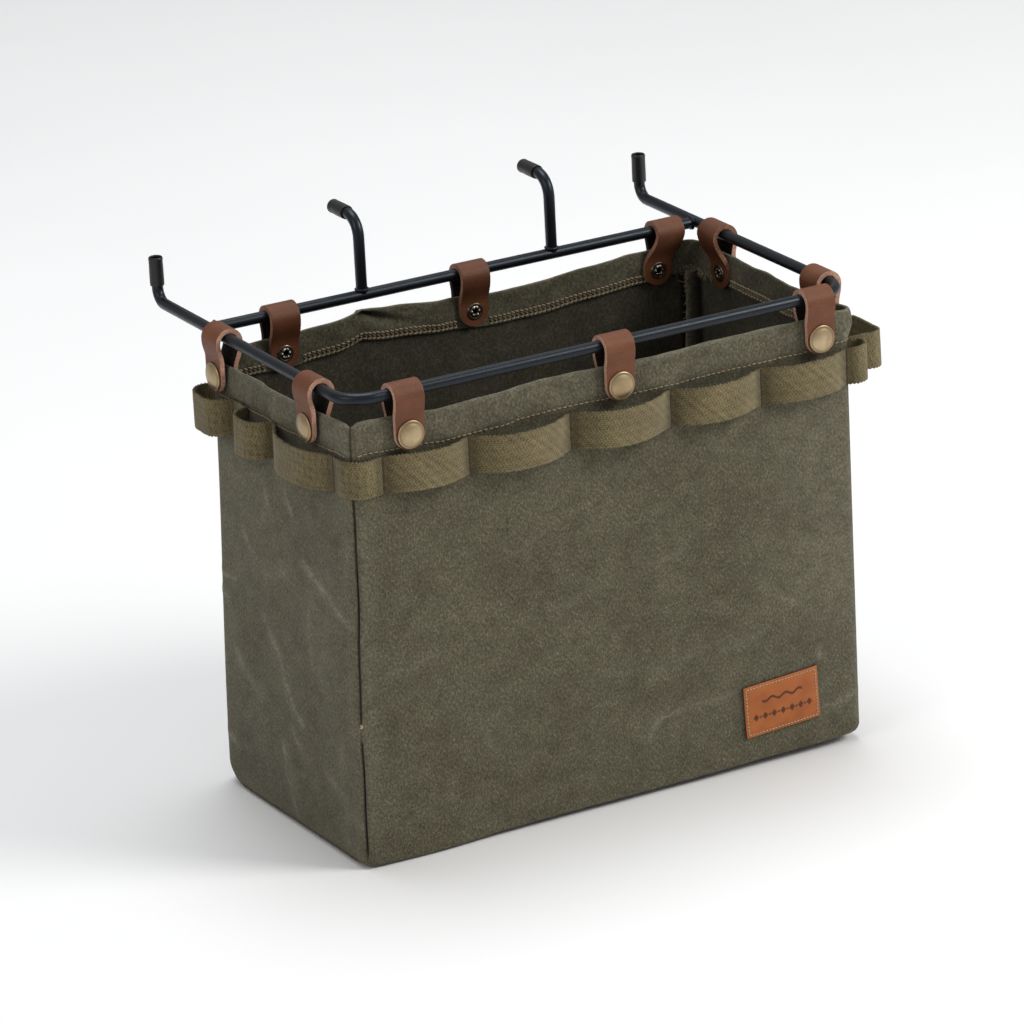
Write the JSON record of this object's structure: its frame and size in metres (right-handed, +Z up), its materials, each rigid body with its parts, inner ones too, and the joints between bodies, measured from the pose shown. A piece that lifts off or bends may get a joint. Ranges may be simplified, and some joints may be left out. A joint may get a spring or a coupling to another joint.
{
  "type": "hanging canvas tool bucket",
  "caption": "Rectangular canvas tool bag hung by leather snap straps in a bent rod frame with four rail hooks, with sewn webbing loops around its rim.",
  "frame": {"origin": "centre of the bag's flat underside", "axes": "+X along the long side, towards the side with the label; front wall at -Y, rail hooks at +Y; +Z up"},
  "size_m": [0.337, 0.2253, 0.2948],
  "materials": {
    "black_steel": "satin black powder coat on 6 mm steel rod",
    "black_vinyl": "black vinyl dip sleeve",
    "olive_canvas": "washed heavy cotton canvas, matte",
    "khaki_webbing": "coarse woven cotton webbing",
    "strap_leather": "oiled brown leather with pale cut edges",
    "label_leather": "tan leather",
    "brass_cap": "antique brass snap cap",
    "dark_snap": "black nickel"
  },
  "bodies": {
    "bag_and_frame": {"perimeter_rod": "black_steel", "rear_crossbar": "black_steel", "rail_hook_left": "black_steel", "rail_hook_right": "black_steel", "sleeve_arm_left": "black_vinyl", "sleeve_arm_right": "black_vinyl", "sleeve_hook_left": "black_vinyl", "sleeve_hook_right": "black_vinyl", "canvas_front": "olive_canvas", "canvas_back": "olive_canvas", "canvas_left": "olive_canvas", "canvas_right": "olive_canvas", "canvas_base": "olive_canvas", "leather_label": "label_leather", "webbing_front": "khaki_webbing", "webbing_back": "khaki_webbing", "webbing_left": "khaki_webbing", "webbing_right": "khaki_webbing", "snap_studs": "dark_snap", "strap_tail_front_left": "strap_leather", "strap_tail_front_mid": "strap_leather", "strap_tail_front_right": "strap_leather", "strap_tail_back_left": "strap_leather", "strap_tail_back_mid": "strap_leather", "strap_tail_back_right": "strap_leather", "strap_tail_left_front": "strap_leather", "strap_tail_left_rear": "strap_leather", "strap_tail_right_front": "strap_leather", "strap_tail_right_rear": "strap_leather"},
    "flap_front_left": {"strap_flap_front_left": "strap_leather", "snap_cap_front_left": "brass_cap", "snap_socket_front_left": "dark_snap"},
    "flap_front_mid": {"strap_flap_front_mid": "strap_leather", "snap_cap_front_mid": "brass_cap", "snap_socket_front_mid": "dark_snap"},
    "flap_front_right": {"strap_flap_front_right": "strap_leather", "snap_cap_front_right": "brass_cap", "snap_socket_front_right": "dark_snap"},
    "flap_back_left": {"strap_flap_back_left": "strap_leather", "snap_cap_back_left": "brass_cap", "snap_socket_back_left": "dark_snap"},
    "flap_back_mid": {"strap_flap_back_mid": "strap_leather", "snap_cap_back_mid": "brass_cap", "snap_socket_back_mid": "dark_snap"},
    "flap_back_right": {"strap_flap_back_right": "strap_leather", "snap_cap_back_right": "brass_cap", "snap_socket_back_right": "dark_snap"},
    "flap_left_front": {"strap_flap_left_front": "strap_leather", "snap_cap_left_front": "brass_cap", "snap_socket_left_front": "dark_snap"},
    "flap_left_rear": {"strap_flap_left_rear": "strap_leather", "snap_cap_left_rear": "brass_cap", "snap_socket_left_rear": "dark_snap"},
    "flap_right_front": {"strap_flap_right_front": "strap_leather", "snap_cap_right_front": "brass_cap", "snap_socket_right_front": "dark_snap"},
    "flap_right_rear": {"strap_flap_right_rear": "strap_leather", "snap_cap_right_rear": "brass_cap", "snap_socket_right_rear": "dark_snap"}
  },
  "joints": [
    {"name": "open_front_left", "type": "hinge", "parent": "bag_and_frame", "child": "flap_front_left", "pos_m": [-0.115, -0.0823, 0.24685], "axis": [-1, 0, 0], "range_deg": [0, 150]},
    {"name": "open_front_mid", "type": "hinge", "parent": "bag_and_frame", "child": "flap_front_mid", "pos_m": [0.0065, -0.0823, 0.24685], "axis": [-1, 0, 0], "range_deg": [0, 150]},
    {"name": "open_front_right", "type": "hinge", "parent": "bag_and_frame", "child": "flap_front_right", "pos_m": [0.126, -0.0823, 0.24685], "axis": [-1, 0, 0], "range_deg": [0, 150]},
    {"name": "open_back_left", "type": "hinge", "parent": "bag_and_frame", "child": "flap_back_left", "pos_m": [-0.1055, 0.0823, 0.24685], "axis": [1, 0, 0], "range_deg": [0, 150]},
    {"name": "open_back_mid", "type": "hinge", "parent": "bag_and_frame", "child": "flap_back_mid", "pos_m": [0.007, 0.0823, 0.24685], "axis": [1, 0, 0], "range_deg": [0, 150]},
    {"name": "open_back_right", "type": "hinge", "parent": "bag_and_frame", "child": "flap_back_right", "pos_m": [0.1265, 0.0823, 0.24685], "axis": [1, 0, 0], "range_deg": [0, 150]},
    {"name": "open_left_front", "type": "hinge", "parent": "bag_and_frame", "child": "flap_left_front", "pos_m": [-0.1538, -0.0385, 0.24685], "axis": [0, 1, 0], "range_deg": [0, 150]},
    {"name": "open_left_rear", "type": "hinge", "parent": "bag_and_frame", "child": "flap_left_rear", "pos_m": [-0.1538, 0.061, 0.24685], "axis": [0, 1, 0], "range_deg": [0, 150]},
    {"name": "open_right_front", "type": "hinge", "parent": "bag_and_frame", "child": "flap_right_front", "pos_m": [0.1538, -0.049, 0.24685], "axis": [0, -1, 0], "range_deg": [0, 150]},
    {"name": "open_right_rear", "type": "hinge", "parent": "bag_and_frame", "child": "flap_right_rear", "pos_m": [0.1538, 0.053, 0.24685], "axis": [0, -1, 0], "range_deg": [0, 150]}
  ]
}
